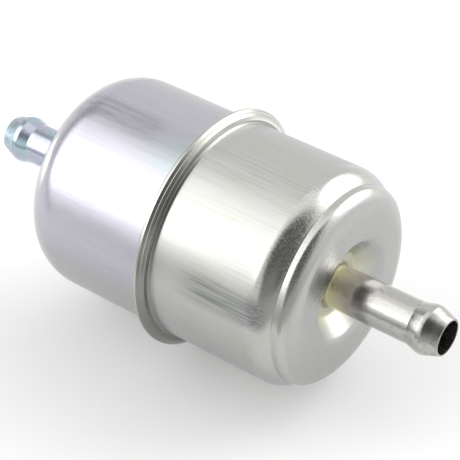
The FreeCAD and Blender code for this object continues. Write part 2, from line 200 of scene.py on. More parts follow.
# ---- tubes and braze ----
TUBE_STREAK_LENGTH = 6 * MM
TUBE_STREAK_WIDTH = 0.3 * MM
TUBE_STREAK_DEPTH = 0.005 * MM
TUBE_SPECKLE = 0.3 * MM
TUBE_SPECKLE_DEPTH = 0.003 * MM
TUBE_CLOUD = 2.5 * MM
TUBE_CLOUD_DEPTH = 0.03 * MM
TUBE_ROUGHNESS = (0.13, 0.19)
FILM_PATCH = 5 * MM
FILM_STRENGTH = 0.85
INLET_FILM = (-30 * MM, -36 * MM)        # where the film's colours fade in, along the axis
OUTLET_FILM = (34.5 * MM, 30 * MM)
GRIME = (1.2 * MM, 0.6 * MM)             # along, across
GRIME_EDGE = (0.58, 0.74)
GRIME_STRENGTH = 0.35
NOSE = (46 * MM, 47 * MM)                # from mid-length, where the bead gets duller
NOSE_BLOTCH = 0.9 * MM
NOSE_ROUGHNESS = (0.2, 0.34)
SOILED = (0.42, 0.7)
SOILED_STRENGTH = 0.45
# painted dark reflection on the side of the nose that faces the camera
NOSE_REFLECTION_REACH = (46.9 * MM, 47.8 * MM, 0.9 * MM)
NOSE_REFLECTION_SIDE = degrees_window(124, 142, 16)
NOSE_REFLECTION_STRENGTH = 0.7
BLISTER = 0.8 * MM
BLISTER_DEPTH = 0.08 * MM
BLISTER_EDGE = (0.4, 0.62)

# ---- pieces inside the can ----
CRYSTALS_PER_METRE = 420.0
DIE_SCUFF = 0.4 * MM
DIE_SCUFF_DEPTH = 0.012 * MM
DIE_LINE = (0.15 * MM, 2 * MM)
DIE_LINE_DEPTH = 0.01 * MM
OIL_PATCH = 4 * MM
RUBBER_SKIN = 0.3 * MM
RUBBER_SKIN_DEPTH = 0.02 * MM
BLOOM_PATCH = 3 * MM
BLOOM_EDGE = (0.45, 0.75)
BUBBLES_PER_METRE = 900.0
BUBBLE_EDGE = (0.25, 0.1)
BUBBLE_DEPTH = 0.06 * MM
ADHESIVE_FLOW = (2 * MM, 5 * MM)
ADHESIVE_FLOW_DEPTH = 0.15 * MM
FIBRE = (2.2 * MM, 0.2 * MM)
FIBRE_DEPTH = 0.06 * MM
FIBRE_EDGE = (0.5, 0.7)
FIBRE_STRENGTH = 0.35
RIBS_PER_METRE = 350.0
RIB_WANDER = 1.5
RIB_DEPTH = 0.08 * MM
RESIN_PATCH = 4 * MM
WEAVE_PITCH = 0.5 * MM
WEAVE_THREADS_AROUND = 110
WEAVE_EDGE = (-0.1, 0.5)
WEAVE_DEPTH = 0.06 * MM

# ---- studio: brightness of each soft area and its edges. An edge is a direction (azimuth from
# +Y towards +X, elevation) and the angles from it where the area is full and where it ends ----
WALL_LEVEL = 1.03
STUDIO_AREAS = (
    (0.45, (((255, 44), 0, 45),)),
    (1.35, (((0, 90), 26, 37),)),
    (0.16, (((134, 40), 36, 52),)),
    (0.35, (((152, 4), 14, 32),)),
    (2.2, (((239, 38), 15, 33),)),
    (4.0, (((227, 20), 12, 25), ((0, 90), 65, 95))),
    (3.2, (((26, 31), 22, 32),)),
)
LOW_LIGHT_PLACE = (-150 * MM, -8 * MM, -7 * MM)   # small low light beyond the inlet
LOW_LIGHT_SIZE = (50 * MM, 26 * MM)
LOW_LIGHT_LEVEL = 2.2
FLOOR_TONE = 0.76
FLOOR_GLOW = 0.2
FLOOR_REACH = 6.0
FLAG_WAY = (math.sin(math.radians(160)), math.cos(math.radians(160)))   # to the darker floor
FLAG_EDGE = (60 * MM, 85 * MM)
FLAG_TONE = 0.25

# ---- camera: azimuth and elevation of the view, aim point and distance ----
AZIMUTH = math.radians(37.583)
ELEVATION = math.radians(37.892)
CAMERA_DISTANCE = 0.32935
CAMERA_SLIDE = (2.545 * MM, -0.346 * MM)   # right and up from the line through the origin
LENS_MM = 140.3
SENSOR_MM = 36.0

# ---- fineness of the meshes ----
LATHE_STEPS = 300                        # faces round every turned piece
ARC_STEP = math.radians(4)               # largest turn between two points of a bend
TINY_RADIUS = 0.001 * MM                 # bends smaller than this are plain corners
TINY_TURN = 1e-4
SHARP_TURNED = math.radians(12)          # edges sharper than this stay crisp
SHARP_WIRE = math.radians(40)

# ---- places from the frame ----
inlet_low, inlet_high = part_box("inlet_shell")
outlet_low, outlet_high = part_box("outlet_shell")
tube_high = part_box("outlet_nipple")[1]
INLET_FACE_X = inlet_low[0]
OUTLET_FACE_X = outlet_high[0]
RIM_RADIUS = outlet_high[2]
FOLD_BACK_X = outlet_low[0]
INLET_FLANGE_X = FOLD_BACK_X + SHEET
INLET_FLANGE_RADIUS = inlet_high[2]
TIP_X = tube_high[0]
COLLAR_RADIUS = tube_high[2]


# ---- turned outlines: every corner is (x along the axis, radius from it, bend radius) ----
def unit(start, end):
    """Direction from one corner to the next."""
    length = math.hypot(end[0] - start[0], end[1] - start[1])
    return ((end[0] - start[0]) / length, (end[1] - start[1]) / length)


def turn_at(before, corner, after):
    """Signed turn of the path at a corner, positive to the left."""
    u = unit(before, corner)
    v = unit(corner, after)
    return math.atan2(u[0] * v[1] - u[1] * v[0], u[0] * v[0] + u[1] * v[1])


def shifted(corners, distance):
    """An open path moved sideways to its left, with its bend radii changed to match."""
    moved = []
    last = len(corners) - 1
    for i, corner in enumerate(corners):
        u = unit(corners[max(i - 1, 0)], corners[max(i, 1)])
        along = 0.0
        radius = 0.0
        if 0 < i < last:
            turn = turn_at(corners[i - 1], corner, corners[i + 1])
            along = -distance * math.tan(turn / 2)
            radius = max(0.0, corner[2] - math.copysign(distance, turn * distance))
        x = corner[0] - u[1] * distance + u[0] * along
        r = corner[1] + u[0] * distance + u[1] * along
        moved.append((x, r, radius))
    return moved


def corner_arc(before, corner, after):
    """The corner itself, or points along the arc that rounds it."""
    x, r, radius = corner
    turn = turn_at(before, corner, after)
    if radius < TINY_RADIUS or abs(turn) < TINY_TURN:
        return [(x, r)]
    u = unit(before, corner)
    back = radius * math.tan(abs(turn) / 2)
    side = math.copysign(1, turn)
    start = (x - u[0] * back, r - u[1] * back)
    centre = (start[0] - u[1] * radius * side, start[1] + u[0] * radius * side)
    dx = start[0] - centre[0]
    dr = start[1] - centre[1]
    steps = max(2, math.ceil(abs(turn) / ARC_STEP))
    points = []
    for i in range(steps + 1):
        a = turn * i / steps
        points.append((
            centre[0] + dx * math.cos(a) - dr * math.sin(a),
            centre[1] + dx * math.sin(a) + dr * math.cos(a),
        ))
    return points


def outline_points(corners):
    """Points round a closed outline of rounded corners."""
    count = len(corners)
    points = []
    for i in range(count):
        points += corner_arc(corners[i - 1], corners[i], corners[(i + 1) % count])
    return points


def mesh_piece(name, verts, faces, body, sharp):
    """A smooth-shaded mesh with crisp edges, riding on a body."""
    mesh = bpy.data.meshes.new(name)
    mesh.from_pydata(verts, [], faces)
    mesh.shade_smooth()
    mesh.set_sharp_from_angle(angle=sharp)
    piece = bpy.data.objects.new(name, mesh)
    bpy.context.scene.collection.objects.link(piece)
    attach(piece, body)
    return piece


def lathe(name, outline, body):
    """A closed outline of (x, radius) points turned about the filter's axis."""
    area = sum(p[0] * q[1] - q[0] * p[1] for p, q in zip(outline, outline[1:] + outline[:1]))
    if area > 0:
        outline = outline[::-1]
    count = len(outline)
    verts = []
    for i in range(LATHE_STEPS):
        angle = 2 * math.pi * i / LATHE_STEPS
        c = math.cos(angle)
        s = math.sin(angle)
        verts += [(x, r * c, r * s) for x, r in outline]
    faces = []
    for i in range(LATHE_STEPS):
        a = i * count
        b = (i + 1) % LATHE_STEPS * count
        for j in range(count):
            k = (j + 1) % count
            faces.append((a + j, a + k, b + k, b + j))
    return mesh_piece(name, verts, faces, body, SHARP_TURNED)


def turned(name, corners, body):
    """A closed outline of rounded corners turned about the filter's axis."""
    return lathe(name, outline_points(corners), body)


def soft_corner(x, r, size, side):
    """Two corners whose touching arcs make an oval bend from the cylinder to the end face."""
    axial, radial = size
    k = math.tan(math.pi / 8)
    total = (axial + radial) / k / (1 + math.sqrt(2))
    difference = (radial - axial) / k
    face_radius = (total + difference) / 2
    wall_radius = (total - difference) / 2
    return [
        (x - side * (axial - wall_radius * k), r, wall_radius),
        (x, r - radial + face_radius * k, face_radius),
    ]


def fold_corners():
    """Outside of the folded rim from its cut edge, over the top and down the rolled front."""
    x = RIM_LAND_X
    r = RIM_RADIUS
    corners = [
        (FOLD_BACK_X, LIP_INNER_RADIUS, 0),
        (FOLD_BACK_X, r, RIM_BACK_RADIUS),
        (x, r, 0),
    ]
    for along, down in ROLL_MARKS:
        x += along
        r -= down
        corners.append((x, r, 0))
    return corners


def roll_mark_steps():
    """Start and end along the axis of the two steps rolled into the front of the rim."""
    places = [corner[0] for corner in fold_corners()[2:]]
    return ((places[1], places[2]), (places[3], places[4]))


def make_inlet_shell():
    """Plain domed cup with a flat flange."""
    dome = soft_corner(INLET_FACE_X, BODY_RADIUS, DOME, -1)
    outside = [
        (INLET_FACE_X, TUBE_RADIUS, 0),
        dome[1],
        dome[0],
        (INLET_FLANGE_X, BODY_RADIUS, BEND_RADIUS),
        (INLET_FLANGE_X, INLET_FLANGE_RADIUS, 0),
    ]
    inside = shifted(outside, -SHEET)
    piece = turned("inlet_cup", outside + inside[::-1], "housing")
    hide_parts("inlet_shell")
    return piece


def make_outlet_shell():
    """Cup with a shoulder, a stepped end and a recess; its flange is folded into the rim."""
    shoulder_x = OUTLET_FACE_X - SHOULDER_START + SHOULDER_RADIUS * math.tan(SHOULDER_TURN / 2)
    valley_x = shoulder_x + (BODY_RADIUS - BOSS_RADIUS) / math.tan(SHOULDER_TURN)
    boss = soft_corner(OUTLET_FACE_X, BOSS_RADIUS, BOSS_CORNER, 1)
    lip_r = RECESS_RADIUS - RECESS_LIP_RADIUS * math.tan(RECESS_TURN / 2)
    floor_r = lip_r - RECESS_DEPTH / math.tan(RECESS_TURN)
    floor_x = OUTLET_FACE_X - RECESS_DEPTH
    top_x, top_r, sharp = fold_corners()[-1]
    foot_x = top_x + (top_r - BODY_RADIUS) * math.tan(FLANGE_LEAN)
    outside = [
        (top_x, top_r, sharp),
        (foot_x, BODY_RADIUS, ROOT_RADIUS),
        (shoulder_x, BODY_RADIUS, SHOULDER_RADIUS),
        (valley_x, BOSS_RADIUS, VALLEY_RADIUS),
        boss[0],
        boss[1],
        (OUTLET_FACE_X, lip_r, RECESS_LIP_RADIUS),
        (floor_x, floor_r, RECESS_FLOOR_RADIUS),
        (floor_x, TUBE_RADIUS, 0),
    ]
    inside = shifted(outside, -SHEET)
    fold_inside = [
        (FOLD_CREASE_X, RIM_RADIUS - SHEET, 0),
        (INLET_FLANGE_X, RIM_RADIUS - SHEET, 0),
        (INLET_FLANGE_X, LIP_INNER_RADIUS, 0),
    ]
    piece = turned("outlet_cup", fold_corners() + outside[1:] + inside[::-1] + fold_inside, "housing")
    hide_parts("outlet_shell")
    return piece


def make_nipple(name, side, node, inside_x):
    """Beaded hose tube; side is +1 at the outlet. inside_x is the inside of the cup."""
    low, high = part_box(node)
    end = low[0] if side > 0 else high[0]
    tip = side * TIP_X
    crest = tip - side * NOSE_LENGTH
    foot = crest - side * (BEAD_LAND + BEAD_RAMP)
    collar_end = inside_x - side * COLLAR_LENGTH
    piece = turned(name, [
        (tip, BORE_RADIUS, 0),
        (tip, MOUTH_RADIUS, MOUTH_ROUND),
        (crest, BEAD_RADIUS, BEAD_ROUND),
        (crest - side * BEAD_LAND, BEAD_RADIUS, BEAD_ROUND),
        (foot, TUBE_RADIUS, BEAD_ROUND),
        (inside_x, TUBE_RADIUS, 0),
        (inside_x, COLLAR_RADIUS, 0),
        (collar_end, COLLAR_RADIUS, 0),
        (collar_end, TUBE_RADIUS, 0),
        (end, TUBE_RADIUS, 0),
        (end, BORE_RADIUS, 0),
    ], "housing")
    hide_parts(node)
    return piece


def make_braze(name, side, node):
    """Hollow fillet of braze round the root of a tube."""
    low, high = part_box(node)
    foot = low[0] if side > 0 else high[0]
    outer = high[2]
    length = high[0] - low[0]
    outline = [(foot, TUBE_RADIUS)]
    for i in range(BRAZE_STEPS + 1):
        part = i / BRAZE_STEPS
        sag = BRAZE_SAG * math.sin(math.pi * part)
        outline.append((
            foot + side * (length * part - sag),
            outer - (outer - TUBE_RADIUS) * part - sag,
        ))
    piece = lathe(name, outline, "housing")
    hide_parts(node)
    return piece


def make_spring(name, node):
    """Coil spring with closed ends, a wire swept along a helix whose pitch swells mid-way."""
    low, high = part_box(node)
    wire_radius = SPRING_WIRE_RADIUS
    coil_radius = high[2] - wire_radius
    start = low[0] + wire_radius
    length = high[0] - wire_radius - start
    closed_pitch = 2 * wire_radius + SPRING_COIL_GAP
    swell = (length - closed_pitch * SPRING_TURNS) / (2 * math.pi)
    rings = int(SPRING_TURNS * SPRING_RINGS_PER_TURN)
    verts = []
    for i in range(rings + 1):
        part = i / rings
        angle = 2 * math.pi * SPRING_TURNS * part
        x = start + length * part - swell * math.sin(2 * math.pi * part)
        outward = Vector((0, math.cos(angle), math.sin(angle)))
        centre = Vector((x, 0, 0)) + outward * coil_radius
        for k in range(WIRE_SIDES):
            turn = 2 * math.pi * k / WIRE_SIDES
            offset = outward * math.cos(turn) + Vector((1, 0, 0)) * math.sin(turn)
            verts.append(centre + offset * wire_radius)
    faces = []
    for i in range(rings):
        for k in range(WIRE_SIDES):
            a = i * WIRE_SIDES + k
            b = i * WIRE_SIDES + (k + 1) % WIRE_SIDES
            faces.append((a, a + WIRE_SIDES, b + WIRE_SIDES, b))
    last = rings * WIRE_SIDES
    faces.append(tuple(range(WIRE_SIDES)))
    faces.append(tuple(last + k for k in reversed(range(WIRE_SIDES))))
    piece = mesh_piece(name, verts, faces, "housing", SHARP_WIRE)
    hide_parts(node)
    return piece


# ---- material helpers: sizes are in metres, places in the object's own space ----
def feed(tree, socket, value):
    """Link a value that is a socket, or set one that is a constant."""
    if isinstance(value, bpy.types.NodeSocket):
        tree.links.new(value, socket)
    else:
        socket.default_value = value


def add(tree, kind, inputs, output=0, **settings):
    """A new shader node with its inputs fed; gives back one of its outputs."""
    node = tree.nodes.new("ShaderNode" + kind)
    for key, value in settings.items():
        setattr(node, key, value)
    for key, value in inputs.items():
        feed(tree, node.inputs[key], value)
    return node.outputs[output]


class Finish:
    """A node material being built. Most methods add nodes and give back an output socket."""

    def __init__(self, name, sockets):
        self.material = bpy.data.materials.new(name)
        self.material.use_nodes = True
        self.tree = self.material.node_tree
        self.shader = self.tree.nodes["Principled BSDF"]
        self.place = add(self.tree, "TexCoord", {}, "Object")
        parts = self.tree.nodes.new("ShaderNodeSeparateXYZ")
        feed(self.tree, parts.inputs[0], self.place)
        self.x, self.y, self.z = parts.outputs
        self.normal = None
        self.set(sockets)

    def set(self, sockets):
        """Feed the shader's sockets, given by name."""
        for key, value in sockets.items():
            feed(self.tree, self.shader.inputs[key], value)

    def maths(self, operation, a, b=0.0):
        return add(self.tree, "Math", {0: a, 1: b}, operation=operation)

    def around(self):
        """Angle about the filter's axis, in radians: 0 at +Y, a quarter turn at +Z."""
        return self.maths("ARCTAN2", self.z, self.y)

    def radius(self):
        """Distance from the filter's axis."""
        y_squared = self.maths("MULTIPLY", self.y, self.y)
        z_squared = self.maths("MULTIPLY", self.z, self.z)
        return self.maths("SQRT", self.maths("ADD", y_squared, z_squared))

    def grain(self, along, across, detail=2.0, seed=0.0):
        """Noise from 0 to 1 whose cells are this long along the axis and this wide across it."""
        shift = add(self.tree, "VectorMath", {0: self.place, 1: (seed, seed, seed)}, operation="ADD")
        scaled = add(self.tree, "VectorMath", {0: shift, 1: (1 / along, 1 / across, 1 / across)},
                     operation="MULTIPLY")
        return add(self.tree, "TexNoise", {"Vector": scaled, "Scale": 1.0, "Detail": detail})

    def rise(self, value, low, high):
        """0 below low, 1 above high and smooth between; low may be above high."""
        return add(self.tree, "MapRange", {"Value": value, "From Min": low, "From Max": high},
                   interpolation_type="SMOOTHSTEP")

    def window(self, value, low, high, soft):
        """1 between low and high, fading to 0 over a distance outside them."""
        return self.maths("MULTIPLY", self.rise(value, low - soft, low),
                          self.rise(value, high + soft, high))

    def spread(self, value, low, high):
        """A value from 0 to 1 stretched over another range."""
        return add(self.tree, "MapRange", {"Value": value, "To Min": low, "To Max": high})

    def blend(self, factor, a, b):
        """Value a where the factor is 0 and value b where it is 1."""
        return add(self.tree, "Mix", {0: factor, 2: a, 3: b}, 0)

    def mix(self, factor, a, b):
        """Colour a where the factor is 0 and colour b where it is 1."""
        return add(self.tree, "Mix", {0: factor, 6: a, 7: b}, 2, data_type="RGBA")

    def product(self, *values):
        """All the values multiplied together."""
        result = values[0]
        for value in values[1:]:
            result = self.maths("MULTIPLY", result, value)
        return result

    def bump(self, height, depth):
        """Raise the surface by a height from 0 to 1 times depth, on top of the bumps so far."""
        inputs = {"Strength": 1.0, "Distance": depth, "Height": height}
        if self.normal:
            inputs["Normal"] = self.normal
        self.normal = add(self.tree, "Bump", inputs)
        self.set({"Normal": self.normal})


def rgb(red, green, blue):
    """Opaque colour, in linear light."""
    return (red, green, blue, 1.0)


def paint(finish, *objects):
    """Give every material slot of these objects the finished material."""
    for piece in objects:
        if not piece.data.materials:
            piece.data.materials.append(finish.material)
        for slot in piece.material_slots:
            slot.material = finish.material


# ---- metals ----
def sheet_roughness(f, streaks, clouds, bent, face, speck):
    """Satin wall, bright bends with stretched specks, satin end face and a bright rim."""
    specks = f.product(
        f.rise(f.grain(*SPECK, detail=3.0, seed=4.0), *SPECK_EDGE),
        f.window(f.around(), *SPECK_SIDE),
    )
    satin = f.maths("ADD", f.spread(clouds, *WALL_ROUGHNESS), f.spread(streaks, *STREAK_ROUGHNESS))
    bright = f.maths("ADD", f.spread(clouds, *BEND_ROUGHNESS), f.product(specks, speck))
    end = f.maths("MAXIMUM", f.rise(f.x, *face), f.rise(f.radius(), *RECESS_EDGE))
    roughness = f.blend(bent, satin, bright)
    roughness = f.blend(end, roughness, f.spread(clouds, *FACE_ROUGHNESS))
    return f.blend(f.rise(f.radius(), *RIM_BEND), roughness, f.spread(clouds, *RIM_ROUGHNESS))


def sheet_colour(f, streaks, clouds, body, patch, edge):
    """Clouded plating, another colour where it is seen edge-on, with lines drawn along it, and scratch
    lines painted darker and lighter only along the upper edge of the highlight: painted reflection on real
    scoring.
    """
    colour = f.mix(f.rise(clouds, *PATCHY), body, patch)
    glancing = add(f.tree, "LayerWeight", {"Blend": GLANCE_BLEND}, "Facing")
    colour = f.mix(f.rise(glancing, *GLANCE), colour, edge)
    lines = f.product(f.rise(streaks, *DARK_STREAK), DARK_STREAK_STRENGTH)
    colour = f.mix(lines, colour, rgb(0.25, 0.25, 0.27))
    # painted reflection: dark and light scratch lines only along the upper edge of the highlight
    score_reflection_band = f.product(f.window(f.around(), *SCORE_REFLECTION_SIDE), f.rise(f.radius(), *SCORE_WALL), SCORE_REFLECTION_STRENGTH)
    scores = f.grain(SCORE_LENGTH, SCORE_WIDTH, detail=3.0, seed=10.0)
    colour = f.mix(f.product(score_reflection_band, f.rise(scores, *DARK_SCORE_REFLECTION)), colour, rgb(0.3, 0.3, 0.3))
    return f.mix(f.product(score_reflection_band, f.rise(scores, *LIGHT_SCORE_REFLECTION)), colour, rgb(0.66, 0.66, 0.66))


def drawn_sheet(name, body, patch, edge, bend, face, speck):
    """Deep-drawn plated sheet: its finish and its colour, which each cup tints further."""
    f = Finish(name, {"Metallic": 1.0, "Anisotropic": SHEET_ANISOTROPY})
    f.set({"Tangent": add(f.tree, "Tangent", {}, direction_type="RADIAL", axis="X")})
    streaks = f.grain(STREAK_LENGTH, STREAK_WIDTH)
    mottle = f.grain(MOTTLE, MOTTLE, detail=3.0, seed=1.0)
    clouds = f.grain(CLOUD, CLOUD, detail=3.0, seed=2.0)
    bent = f.rise(f.x, *bend)
    f.bump(f.grain(WAVE_LENGTH, WAVE_WIDTH, detail=1.0, seed=3.0), WAVE_DEPTH)
    f.bump(streaks, STREAK_DEPTH)
    f.bump(f.product(mottle, f.spread(bent, WALL_MOTTLE_SHARE, 1.0)), MOTTLE_DEPTH)
    f.set({"Roughness": sheet_roughness(f, streaks, clouds, bent, face, speck)})
    return f, sheet_colour(f, streaks, clouds, body, patch, edge)


def cool_sheet():
    """Inlet cup: lavender plating above, neutral below, cyan near the rim, and a painted dark reflection
    along the upper edge of the highlight.
    """
    f, colour = drawn_sheet("cool_sheet", rgb(0.475, 0.46, 0.52), rgb(0.49, 0.48, 0.525),
                            rgb(0.465, 0.465, 0.455), INLET_BEND, INLET_FACE, INLET_SPECK)
    neutral = f.product(f.rise(f.z, *NEUTRAL_HEIGHT), NEUTRAL_STRENGTH)
    colour = f.mix(neutral, colour, rgb(0.475, 0.475, 0.462))
    cyan = f.product(f.window(f.around(), *CYAN_SIDE), f.rise(f.x, *CYAN_REACH), CYAN_STRENGTH)
    colour = f.mix(cyan, colour, rgb(0.42, 0.52, 0.53))
    # painted dark reflection along the upper edge of the highlight, in patches
    reflection_patches = f.rise(f.grain(*DARK_REFLECTION_GRAIN, detail=4.0, seed=5.0), *PATCHY)
    dark_reflection = f.product(
        f.window(f.around(), *DARK_REFLECTION_SIDE),
        f.window(f.x, *DARK_REFLECTION_REACH),
        f.spread(reflection_patches, *DARK_REFLECTION_DENSITY),
        DARK_REFLECTION_STRENGTH,
    )
    f.set({"Base Color": f.mix(dark_reflection, colour, rgb(0.2, 0.19, 0.25))})
    return f


def end_tints_and_painted_light(f, colour):
    """Plain end face, tinted round the tube by the heat of brazing, with a lighter patch of painted light
    over the tube's dark reflection.
    """
    colour = f.mix(f.rise(f.x, *OUTLET_FACE), colour, rgb(0.463, 0.463, 0.452))
    heat = f.product(
        f.rise(f.radius(), *HEAT_REACH),
        f.spread(f.grain(HEAT_PATCH, HEAT_PATCH, detail=3.0, seed=11.0), *HEAT_DENSITY),
    )
    colour = f.mix(heat, colour, rgb(0.58, 0.58, 0.44))
    # painted light: lighter patch over the tube's dark reflection in the end face
    painted_light = f.product(
        f.window(f.around(), *PAINTED_LIGHT_SIDE),
        f.window(f.radius(), *PAINTED_LIGHT_RING),
        f.rise(f.grain(PAINTED_LIGHT_GRAIN, PAINTED_LIGHT_GRAIN, detail=3.0, seed=12.0), *PAINTED_LIGHT_EDGE),
    )
    return f.mix(painted_light, colour, rgb(0.8, 0.8, 0.76))


def streaky_dark_reflection(f, colour):
    """Painted dark reflection: a blue-grey patch of fine streaks along the wall, low on its side at the
    lower edge of the highlight.
    """
    reflection_streaks = f.rise(f.grain(*STREAKY_REFLECTION_GRAIN, detail=4.0, seed=7.0), *PATCHY)
    # painted dark reflection, streaked along the wall
    streaky_reflection = f.product(
        f.window(f.around(), *STREAKY_REFLECTION_SIDE),
        f.window(f.x, *STREAKY_REFLECTION_REACH),
        f.spread(reflection_streaks, *STREAKY_REFLECTION_DENSITY),
        f.rise(f.radius(), *STREAKY_REFLECTION_WALL),
        STREAKY_REFLECTION_STRENGTH,
    )
    return f.mix(streaky_reflection, colour, rgb(0.15, 0.17, 0.185))


def rim_tint_and_painted_light(f, colour):
    """Rolled rim: warm plating; below its top, painted shade on its front and, darker, in the crease at
    its root, and painted highlights on its two steps and its flange; darker painted shade still on the
    lower half of its front.
    """
    # low is 1 except on the top of the rim; it gates the painted shade and highlights below
    low = f.rise(f.z, *RIM_PAINTED_LIGHT_HEIGHT)
    rolled = f.rise(f.radius(), *RIM_BEND)
    front = f.product(f.rise(f.x, RIM_LAND_X, RIM_LAND_X + STEP_BLUR), f.rise(f.x, *FILLET))
    root = f.product(f.rise(f.x, *FILLET), f.rise(f.radius(), *ROOT_BLUR))
    flange = f.window(f.radius(), *FLANGE_HIGHLIGHT_BAND)
    colour = f.mix(rolled, colour, rgb(0.49, 0.49, 0.45))
    # painted shade on the rim's front
    colour = f.mix(f.product(low, front), colour, rgb(0.44, 0.44, 0.41))
    # painted shade in the crease where the rim meets the wall
    colour = f.mix(f.product(low, root), colour, rgb(0.29, 0.29, 0.275))
    # painted highlight on the flange
    colour = f.mix(f.product(low, flange), colour, rgb(0.78, 0.78, 0.74))
    for start, end in roll_mark_steps():
        step = f.window(f.x, start, end, STEP_BLUR)
        # painted highlights on the two steps
        colour = f.mix(f.product(low, step), colour, rgb(0.62, 0.62, 0.58))
    # darker painted shade on the lower half of the rim's front
    lower_half_shade = f.product(f.rise(f.z, *RIM_LOWER_SHADE_HEIGHT), front, rolled)
    return f.mix(lower_half_shade, colour, rgb(0.27, 0.27, 0.255))


def warm_sheet():
    """Outlet cup: warmer plating, tinted at its end, with painted light over a reflection on its end, a
    painted dark reflection low on its side, and painted shade and highlights on its rim.
    """
    f, colour = drawn_sheet("warm_sheet", rgb(0.49, 0.495, 0.455), rgb(0.50, 0.503, 0.485),
                            rgb(0.455, 0.455, 0.49), OUTLET_BEND, OUTLET_FACE, OUTLET_SPECK)
    colour = end_tints_and_painted_light(f, colour)
    colour = streaky_dark_reflection(f, colour)
    f.set({"Base Color": rim_tint_and_painted_light(f, colour)})
    return f


def tube_plating(name, body, film_a, film_b, film_reach):
    """Bright plated tube with a film of colour near the cup, a duller, soiled nose, and a painted dark
    reflection on the side of the nose that faces the camera.
    """
    f = Finish(name, {"Metallic": 1.0})
    clouds = f.grain(TUBE_CLOUD, TUBE_CLOUD, seed=4.0)
    f.bump(clouds, TUBE_CLOUD_DEPTH)
    f.bump(f.grain(TUBE_STREAK_LENGTH, TUBE_STREAK_WIDTH, detail=3.0), TUBE_STREAK_DEPTH)
    f.bump(f.grain(TUBE_SPECKLE, TUBE_SPECKLE, seed=1.0), TUBE_SPECKLE_DEPTH)
    worn = f.rise(f.maths("ABSOLUTE", f.x), *NOSE)
    blotches = f.grain(NOSE_BLOTCH, NOSE_BLOTCH, detail=3.0, seed=9.0)
    f.set({
        "Roughness": f.blend(worn, f.spread(clouds, *TUBE_ROUGHNESS), f.spread(blotches, *NOSE_ROUGHNESS)),
    })
    film = f.mix(f.rise(f.grain(FILM_PATCH, FILM_PATCH, detail=1.0, seed=8.0), *PATCHY), film_a, film_b)
    colour = f.mix(f.product(f.rise(f.x, *film_reach), FILM_STRENGTH), body, film)
    grime = f.product(f.rise(f.grain(*GRIME, detail=3.0, seed=6.0), *GRIME_EDGE), GRIME_STRENGTH)
    colour = f.mix(grime, colour, rgb(0.18, 0.17, 0.15))
    soiled = f.product(worn, f.rise(blotches, *SOILED), SOILED_STRENGTH)
    colour = f.mix(soiled, colour, rgb(0.16, 0.16, 0.15))
    # painted dark reflection on one side of the nose
    nose_dark_reflection = f.product(f.window(f.x, *NOSE_REFLECTION_REACH), f.window(f.around(), *NOSE_REFLECTION_SIDE), NOSE_REFLECTION_STRENGTH)
    f.set({"Base Color": f.mix(nose_dark_reflection, colour, rgb(0.2, 0.2, 0.2))})
    return f


def inlet_plating():
    return tube_plating("inlet_plating", rgb(0.46, 0.48, 0.51), rgb(0.38, 0.5, 0.56),
                        rgb(0.44, 0.44, 0.55), INLET_FILM)


def outlet_plating():
    return tube_plating("outlet_plating", rgb(0.46, 0.455, 0.43), rgb(0.86, 0.84, 0.58),
                        rgb(0.82, 0.72, 0.64), OUTLET_FILM)


def braze_metal():
    """Brassy fillet, dulled and a little blistered where the flux ran."""
    f = Finish("braze_metal", {"Metallic": 1.0})
    blisters = f.grain(BLISTER, BLISTER, detail=3.0)
    f.bump(blisters, BLISTER_DEPTH)
    f.set({
        "Base Color": f.mix(f.rise(blisters, *BLISTER_EDGE), rgb(0.52, 0.51, 0.41), rgb(0.42, 0.41, 0.34)),
        "Roughness": f.spread(blisters, 0.25, 0.5),
    })
    return f


def pressed_steel():
    """Tin-plated pressings: faint crystal flecks and die scuffs."""
    f = Finish("pressed_steel", {"Metallic": 1.0})
    crystals = add(f.tree, "TexVoronoi", {"Vector": f.place, "Scale": CRYSTALS_PER_METRE}, "Color")
    pale = f.mix(0.5, rgb(0.5, 0.5, 0.5), crystals)
    fleck = add(f.tree, "SeparateColor", {0: pale})
    f.bump(f.grain(DIE_SCUFF, DIE_SCUFF, detail=3.0), DIE_SCUFF_DEPTH)
    f.set({
        "Base Color": f.mix(fleck, rgb(0.5, 0.5, 0.49), rgb(0.62, 0.62, 0.62)),
        "Roughness": f.spread(fleck, 0.25, 0.45),
    })
    return f


def spring_wire():
    """Hard-drawn wire with die lines and a dark oiled skin."""
    f = Finish("spring_wire", {"Metallic": 1.0})
    lines = f.grain(*DIE_LINE)
    oil = f.grain(OIL_PATCH, OIL_PATCH, seed=2.0)
    f.bump(lines, DIE_LINE_DEPTH)
    f.set({
        "Base Color": f.mix(f.rise(oil, *PATCHY), rgb(0.22, 0.21, 0.2), rgb(0.4, 0.4, 0.41)),
        "Roughness": f.spread(lines, 0.25, 0.45),
    })
    return f


# ---- soft and fibrous materials ----
def rubber(name, tone, bloom_tone):
    """Moulded nitrile: grey bloom in the hollows of a fine matt skin."""
    f = Finish(name, {"Specular IOR Level": 0.4})
    bloom = f.grain(BLOOM_PATCH, BLOOM_PATCH, detail=3.0, seed=3.0)
    f.bump(f.grain(RUBBER_SKIN, RUBBER_SKIN, detail=3.0), RUBBER_SKIN_DEPTH)
    f.set({
        "Base Color": f.mix(f.rise(bloom, *BLOOM_EDGE), tone, bloom_tone),
        "Roughness": f.spread(bloom, 0.55, 0.8),
    })
    return f


